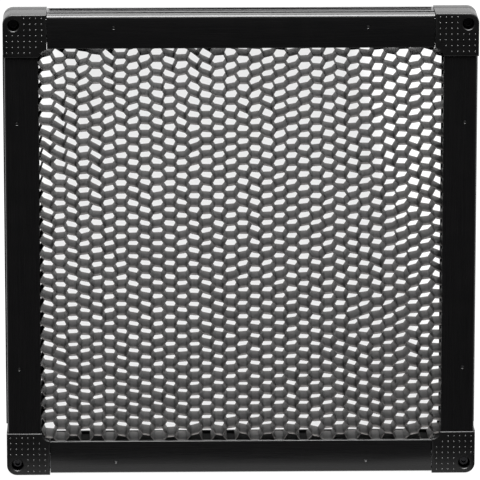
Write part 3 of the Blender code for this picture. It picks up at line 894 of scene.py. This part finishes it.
def make_tapper():
    """Pan-head tapping screw with a cross recess and a coarse thread."""
    head_rear = TAPPER_HIGH.y
    under_head = head_rear - TAPPER_HEAD_LENGTH
    tip = TAPPER_LOW.y
    radius = TAPPER_RADIUS
    head = TAPPER_HEAD_RADIUS
    rings = [(head_rear - depth, head * share) for depth, share in TAPPER_HEAD_PROFILE]
    rings += [(under_head, head * TAPPER_RIM_SHARE), (under_head, radius * TAPPER_NECK_SHARE)]
    depth = radius * TAPPER_THREAD_SHARE
    rings += threaded_rings(radius, depth, TAPPER_PITCH, under_head - 2 * GAP, tip + 2 * radius)
    rings += [(tip + radius, radius * TAPPER_POINT[0]), (tip, radius * TAPPER_POINT[1])]
    tapper = lathe("tapper", rings, ROUND_SIDES)
    arm = head * RECESS_ARM_SHARE
    half = head * RECESS_HALF_SHARE
    floor = head_rear - TAPPER_HEAD_LENGTH * RECESS_DEPTH_SHARE
    cut(tapper, box("recess_across", (-arm, floor, -half), (arm, OVERCUT, half)))
    cut(tapper, box("recess_upright", (-half, floor, -arm), (half, OVERCUT, arm)))
    return finished(tapper, "oxide", sharp=SHARP_FINE)


def make_pin():
    """Drive pin: domed end just below the rail's face, with a spread tail behind the key."""
    front = PIN_LOW.y
    tail = KEY_HIGH.y + GAP
    radius = PIN_RADIUS
    rings = [(front + depth, radius * share) for depth, share in PIN_DOME]
    rings += [(tail, radius), (tail, PIN_TAIL_RADIUS), (tail + radius / 2, PIN_TAIL_RADIUS)]
    rings += [(PIN_HIGH.y, radius * PIN_END_SHARE)]
    return finished(lathe("pin", rings, SMALL_SIDES), "pin")


# Honeycomb core

def column_waves(draw, rows, knot_rows):
    """A value for each row of a column, running smoothly between random knots."""
    knots = [draw.uniform(-1.0, 1.0) for _ in range(math.ceil(rows / knot_rows) + 2)]
    values = []
    for row in range(rows):
        at = row / knot_rows
        i = int(at)
        blend = 0.5 - 0.5 * math.cos(math.pi * (at - i))
        values.append(knots[i] * (1 - blend) + knots[i + 1] * blend)
    return values


def looseness(x, z):
    """How crushed the cells are at a place: 1 at the top left, least at the bottom middle."""
    right = (x - CORE_LOW.x) / (CORE_HIGH.x - CORE_LOW.x)
    up = (z - CORE_LOW.z) / (CORE_HIGH.z - CORE_LOW.z)
    top = 1.0 - LOOSE_TOP_FALL * min(1.0, LOOSE_TOP_RATE * right)
    bottom = LOOSE_LOW_START - LOOSE_LOW_DIP * math.sin(math.pi * right) + LOOSE_LOW_RISE * right
    return bottom + (top - bottom) * up * up


def core_graph():
    """Foil walls as a graph: front and rear places of the joints, and walls between them."""
    draw = random.Random(SEED)
    low_x = CORE_LOW.x + CORE_MARGIN
    high_x = CORE_HIGH.x - CORE_MARGIN
    floor_z = CORE_LOW.z + 2 * CORE_MARGIN
    first = math.floor((low_x - COLUMN_SHIFT) / COLUMN_PITCH)
    last = math.ceil((high_x - COLUMN_SHIFT) / COLUMN_PITCH)
    rows = math.ceil((CORE_HIGH.z - CORE_LOW.z) / CELL) + 2
    places = {}
    walls = {}
    for column in range(first, last + 1):
        lean = column_waves(draw, rows, LEAN_ROWS)
        lift = column_waves(draw, rows, LIFT_ROWS)
        drift = column_waves(draw, rows, DRIFT_ROWS)
        raised = 0.5 if column % 2 == 0 else 0.0
        for row in range(rows):
            x = COLUMN_SHIFT + COLUMN_PITCH * column
            z = floor_z + CELL * (row + raised)
            loose = looseness(x, z)
            x += LOOSE_DRIFT * loose * drift[row]
            z += LOOSE_LIFT * loose * lift[row] * min(1.0, row / SETTLED_ROWS)
            reach = LOOSE_LEAN * loose * min(1.0, FLOOR_LEAN_SHARE + row / SETTLED_ROWS)
            leaning = reach * (lean[row] - LOOSE_BIAS * loose)
            angle = math.radians(leaning + draw.uniform(-CELL_LEAN, CELL_LEAN))
            if row == 0 and raised:
                z += draw.uniform(-RAGGED, RAGGED / 2)
                angle += draw.uniform(-RAGGED_LEAN, RAGGED_LEAN)
            half = NODE_WALL_LENGTH / 2 * draw.uniform(*NODE_WALL_SHARES)
            rack = CORE_RACK_LOW + (CORE_RACK_TOP - CORE_RACK_LOW) * row / rows
            skew = (draw.uniform(-1, 1) * SKEW_JITTER, rack + draw.uniform(-1, 1) * SKEW_JITTER)
            for side, sign in (("left", -1), ("right", 1)):
                jitter = (draw.uniform(-1, 1) * JOINT_JITTER, draw.uniform(-1, 1) * JOINT_JITTER)
                front = (
                    x + sign * half * math.cos(angle) + jitter[0],
                    max(floor_z, z + sign * half * math.sin(angle) + jitter[1]),
                )
                rear_x = min(high_x, max(low_x, front[0] + skew[0]))
                rear = (rear_x, max(floor_z, front[1] + skew[1]))
                places[(side, column, row)] = (front, rear)
            if row > 0 or raised or draw.random() > MISSING_SHARE:
                walls[(("left", column, row), ("right", column, row))] = NODE_FOIL
            if column > first:
                for step in ((0, -1) if raised == 0.0 else (0, 1)):
                    other = ("right", column - 1, row + step)
                    if 0 <= row + step < rows:
                        walls[(other, ("left", column, row))] = FOIL
    return places, walls


def trimmed(places, walls):
    """Cuts the walls off at the sides and the top of the core; what is left ends there."""
    low_x = CORE_LOW.x + CORE_MARGIN
    high_x = CORE_HIGH.x - CORE_MARGIN
    high_z = CORE_HIGH.z - CORE_MARGIN

    def outside(place):
        return max(low_x - place[0], place[0] - high_x, place[1] - high_z)

    kept_places = {}
    kept_walls = {}
    for (a, b), foil in walls.items():
        over_a, over_b = outside(places[a][0]), outside(places[b][0])
        if over_a > 0 and over_b > 0:
            continue
        ends = []
        for end, other, over, clear in ((a, b, over_a, over_b), (b, a, over_b, over_a)):
            if over <= 0:
                ends.append(end)
                kept_places[end] = places[end]
                continue
            share = clear / (clear - over)
            cut_end = (*end, other)
            sides = []
            for i in (0, 1):
                x, z = (q + share * (p - q) for p, q in zip(places[end][i], places[other][i]))
                sides.append((min(high_x, max(low_x, x)), min(high_z, z)))
            kept_places[cut_end] = tuple(sides)
            ends.append(cut_end)
        (ax, az), (bx, bz) = kept_places[ends[0]][0], kept_places[ends[1]][0]
        if math.hypot(ax - bx, az - bz) > SHORTEST_WALL * foil:
            kept_walls[tuple(ends)] = foil
    return kept_places, kept_walls


def corner_offset(first, first_half, second, second_half):
    """Where the left side of one wall meets the right side of the next, from their joint."""
    left = Vector((-first.y, first.x)) * first_half
    right = Vector((second.y, -second.x)) * second_half
    crossing = first.x * second.y - first.y * second.x
    if abs(crossing) < NEARLY_STRAIGHT:
        return (left + right) / 2
    along = ((right - left).x * second.y - (right - left).y * second.x) / crossing
    limit = MITRE_LIMIT * (first_half + second_half)
    return left + first * max(-limit, min(limit, along))


def wall_faces(near, far):
    """The quads between two lines of points that run from front to rear."""
    return [(near[i], far[i], far[i + 1], near[i + 1]) for i in range(len(near) - 1)]


def make_core():
    """The foil core: every wall a thin solid, joined into one closed body."""
    places, walls = trimmed(*core_graph())
    neighbours = {}
    for (a, b), foil in walls.items():
        neighbours.setdefault(a, []).append((b, foil / 2))
        neighbours.setdefault(b, []).append((a, foil / 2))
    draw = random.Random(SEED + 1)
    verts = []
    left = {}
    right = {}
    rings = {}
    for joint, around in neighbours.items():
        front, rear = (Vector(p) for p in places[joint])
        around.sort(key=lambda n: math.atan2(places[n[0]][0][1] - front.y, places[n[0]][0][0] - front.x))
        count = len(around)
        steps = []
        for level in range(CORE_LEVELS):
            share = level / (CORE_LEVELS - 1)
            middle = front.lerp(rear, share)
            if 0 < level < CORE_LEVELS - 1:
                middle = middle + Vector((draw.uniform(-1, 1), draw.uniform(-1, 1))) * CREASE_JITTER
            dirs = []
            for other, _ in around:
                far_front, far_rear = (Vector(p) for p in places[other])
                dirs.append((far_front.lerp(far_rear, share) - front.lerp(rear, share)).normalized())
            y = CORE_LOW.y + (CORE_HIGH.y - CORE_LOW.y) * share
            ring = []
            for i in range(count):
                j = (i + 1) % count
                if count == 1:
                    offset = Vector((-dirs[0].y, dirs[0].x)) * around[0][1]
                    for sign in (1, -1):
                        ring.append(len(verts))
                        verts.append((middle.x + sign * offset.x, y, middle.y + sign * offset.y))
                else:
                    offset = corner_offset(dirs[i], around[i][1], dirs[j], around[j][1])
                    ring.append(len(verts))
                    verts.append((middle.x + offset.x, y, middle.y + offset.y))
            steps.append(ring)
        rings[joint] = steps
        for i, (other, _) in enumerate(around):
            left[(joint, other)] = [ring[i] for ring in steps]
            right[(joint, other)] = [ring[i - 1] for ring in steps]
    faces = []
    for a, b in walls:
        faces += wall_faces(left[(a, b)], right[(b, a)])
        faces += wall_faces(left[(b, a)], right[(a, b)])
        cap = [right[(a, b)], left[(b, a)], right[(b, a)], left[(a, b)]]
        faces.append(tuple(line[0] for line in cap))
        faces.append(tuple(line[-1] for line in reversed(cap)))
    for joint, steps in rings.items():
        count = len(neighbours[joint])
        if count == 1:
            other = neighbours[joint][0][0]
            faces += wall_faces(right[(joint, other)], left[(joint, other)])
        elif count > 2:
            faces.append(tuple(steps[0]))
            faces.append(tuple(reversed(steps[-1])))
    mesh = bpy.data.meshes.new("core")
    mesh.from_pydata(verts, [], faces)
    mesh.validate()
    dress(mesh, ("foil", "foil_edge"), SHARP_FINE)
    second_look(mesh, lambda face: abs(face.normal.y) > FACING)
    return mesh


# Placing

def quarter_pieces(nodes, places, mesh, bodies="frame", at=(0.0, 0.0)):
    """Four copies of a mesh, each a quarter turn further round Y, standing for four CAD nodes."""
    for i, place in enumerate(places):
        node = nodes.format(place)
        body = bodies.format(place)
        turn = Matrix.Rotation(math.radians(90 * i), 4, "Y")
        thing = link_object(f"{node}_fine", mesh)
        thing.matrix_world = turn @ Matrix.Translation((at[0], 0.0, at[1]))
        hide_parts(node)
        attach(thing, body)


LOOKS = {
    "anodised": anodised_surface(),
    "channel": channel_surface(),
    "moulded": moulded_surface("corner_plastic_look", 0.36, 0.00002),
    "stud": stud_surface(),
    "foil": foil_surface(),
    "foil_edge": foil_edge_surface(),
    "plated": plated_surface(),
    "oxide": oxide_surface("screw_steel_look", (0.045, 0.045, 0.048), (0.10, 0.098, 0.095)),
    "nylon": nylon_surface(),
    "strip": strip_surface(),
    "pin": oxide_surface("pin_steel_look", (0.16, 0.16, 0.165), (0.35, 0.34, 0.33)),
}

quarter_pieces("rail_{}", SIDES, make_rail())
quarter_pieces("core_strip_{}", SIDES, make_strip())
quarter_pieces("corner_front_{}", QUARTERS, make_corner_front())
quarter_pieces("corner_rear_{}", QUARTERS, make_corner_rear())
quarter_pieces("corner_key_{}", QUARTERS, make_key())
quarter_pieces("corner_screw_{}", QUARTERS, make_screw(), "screw_{}", SCREW_AT)
quarter_pieces("captive_washer_{}", QUARTERS, make_washer(), "washer_{}", SCREW_AT)

TAPPER = make_tapper()
PIN = make_pin()
for number in (1, 2):
    tapper_at = middle_of(*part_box(f"shell_screw_tr_{number}"))
    pin_at = middle_of(*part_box(f"rail_pin_top_{number}"))
    quarter_pieces(f"shell_screw_{{}}_{number}", QUARTERS, TAPPER, at=tapper_at)
    quarter_pieces(f"rail_pin_{{}}_{number}", SIDES, PIN, at=pin_at)

core = link_object("honeycomb_core_fine", make_core())
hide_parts("honeycomb_core")
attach(core, "frame")


# Stage, light and camera

FLOOR_SIZE = 60.0
OPEN_EMISSION = 1.05
# Floor glow inside the painted shadow behind the part, and where that shadow ends and fades out
SHADE_EMISSION = 0.76
SHADE_END = 1.60
SHADE_FADE = 0.12
CARD_DEPTH = 0.030
CARD_BRIGHT = 0.85
WHITE = (1.0, 1.0, 1.0, 1.0)
STAGE_GREY = (0.02, 0.02, 0.02)
ROOM_AMBIENT = 0.050


def make_floor():
    """A wide pale floor under the part with a faint painted shadow behind it, left out of its reflections.
    """
    mesh = bpy.data.meshes.new("floor")
    with editing(mesh) as work:
        bmesh.ops.create_grid(work, x_segments=2, y_segments=2, size=FLOOR_SIZE / 2)
    floor = link_object("floor", mesh)
    floor.location.z = CAD_LOW.z - GAP / 3
    floor.visible_glossy = False
    floor.visible_diffuse = False
    made = Surface("floor_look", STAGE_GREY, 0.9, specular=0.0)
    made.set(made.shader, **{"Emission Color": WHITE})
    split = made.tree.nodes.new("ShaderNodeSeparateXYZ")
    made.tree.links.new(made.place, split.inputs[0])
    sideways = math_node(made.tree, "ABSOLUTE", split.outputs["X"])
    open_at = made.spread(sideways, 0.0, 1.0, WINDOW_HALF, CAD_HIGH.x)
    # Painted shadow: the floor glows less straight behind the part, between its sides and out to SHADE_END.
    for start, end in ((CAD_HIGH.y, CAD_LOW.y), (SHADE_END, SHADE_END + SHADE_FADE)):
        open_too = made.spread(split.outputs["Y"], 0.0, 1.0, start, end)
        open_at = math_node(made.tree, "MAXIMUM", open_at, open_too)
    shade = made.spread(open_at, SHADE_EMISSION, OPEN_EMISSION, 0.0, 1.0)
    made.tree.links.new(shade, made.shader.inputs["Emission Strength"])
    mesh.materials.append(made.material)


def make_card():
    """A white card on the floor in front, seen only in the part's sheen."""
    mesh = bpy.data.meshes.new("card")
    low = Vector((CAD_LOW.x, CAD_LOW.y - CARD_DEPTH, 0.0))
    high = Vector((CAD_HIGH.x, CAD_LOW.y - GAP, 0.0))
    corners = [(low.x, low.y, 0.0), (high.x, low.y, 0.0), (high.x, high.y, 0.0), (low.x, high.y, 0.0)]
    mesh.from_pydata(corners, [], [(0, 1, 2, 3)])
    card = link_object("card", mesh)
    card.location.z = CAD_LOW.z
    card.visible_camera = False
    card.visible_diffuse = False
    card.visible_shadow = False
    made = Surface("card_look", STAGE_GREY, 0.9)
    made.set(made.shader, **{"Emission Color": WHITE, "Emission Strength": CARD_BRIGHT})
    mesh.materials.append(made.material)


def make_world():
    """White to the camera; to surfaces, a room dark in front, bright behind, above and below."""
    world = bpy.data.worlds.new("studio")
    bpy.context.scene.world = world
    world.use_nodes = True
    tree = world.node_tree
    tree.nodes.clear()
    split = tree.nodes.new("ShaderNodeSeparateXYZ")
    tree.links.new(tree.nodes.new("ShaderNodeTexCoord").outputs["Generated"], split.inputs[0])
    sideways = math_node(tree, "ABSOLUTE", split.outputs["X"])
    # Each part of the room: a direction, where its brightness starts and is full, and how bright
    parts = (
        (split.outputs["Y"], -0.1, 0.8, 1.6),
        (split.outputs["Z"], 0.2, 0.9, 1.6),
        (split.outputs["Z"], -0.5, -0.95, 0.9),
        (sideways, 0.6, 1.0, 0.15),
    )
    total = ROOM_AMBIENT
    for source, start, end, bright in parts:
        ramp = tree.nodes.new("ShaderNodeMapRange")
        ramp.interpolation_type = "SMOOTHSTEP"
        for key, value in (("From Min", start), ("From Max", end), ("To Min", 0.0), ("To Max", bright)):
            ramp.inputs[key].default_value = value
        tree.links.new(source, ramp.inputs["Value"])
        total = math_node(tree, "ADD", ramp.outputs["Result"], total)
    room = tree.nodes.new("ShaderNodeBackground")
    tree.links.new(total, room.inputs["Strength"])
    white = tree.nodes.new("ShaderNodeBackground")
    white.inputs["Color"].default_value = WHITE
    choose = tree.nodes.new("ShaderNodeMixShader")
    tree.links.new(tree.nodes.new("ShaderNodeLightPath").outputs["Is Camera Ray"], choose.inputs[0])
    tree.links.new(room.outputs[0], choose.inputs[1])
    tree.links.new(white.outputs[0], choose.inputs[2])
    output = tree.nodes.new("ShaderNodeOutputWorld")
    tree.links.new(choose.outputs[0], output.inputs["Surface"])


def make_softbox(name, location, size, radiance):
    """A square area light of an even brightness, facing the middle of the part."""
    light = bpy.data.lights.new(name, "AREA")
    light.shape = "SQUARE"
    light.size = size
    light.energy = radiance * math.pi * size * size
    lamp = bpy.data.objects.new(name, light)
    bpy.context.scene.collection.objects.link(lamp)
    lamp.location = location
    lamp.rotation_euler = (-Vector(location)).to_track_quat("-Z", "Y").to_euler()
    lamp.visible_camera = False


def make_camera():
    """A long lens well above the part's axis and just left of it."""
    distance = 3.6
    elevation = math.radians(13.2)
    azimuth = math.radians(-1.2)
    field = 0.3325
    aim = Vector((-0.0004, (CAD_LOW.y + CAD_HIGH.y) / 2, 0.0010))
    data = bpy.data.cameras.new("camera")
    data.sensor_width = 36.0
    data.lens = data.sensor_width * distance / field
    data.clip_end = 200.0
    camera = bpy.data.objects.new("camera", data)
    bpy.context.scene.collection.objects.link(camera)
    flat = math.cos(elevation)
    away = Vector((math.sin(azimuth) * flat, -math.cos(azimuth) * flat, math.sin(elevation)))
    camera.location = aim + away * distance
    camera.rotation_euler = (-away).to_track_quat("-Z", "Y").to_euler()
    bpy.context.scene.camera = camera


make_floor()
make_card()
make_world()
make_softbox("overhead", location=(0.0, -0.50, 2.6), size=2.3, radiance=18.5)
make_camera()
bpy.context.scene.view_settings.view_transform = "Standard"
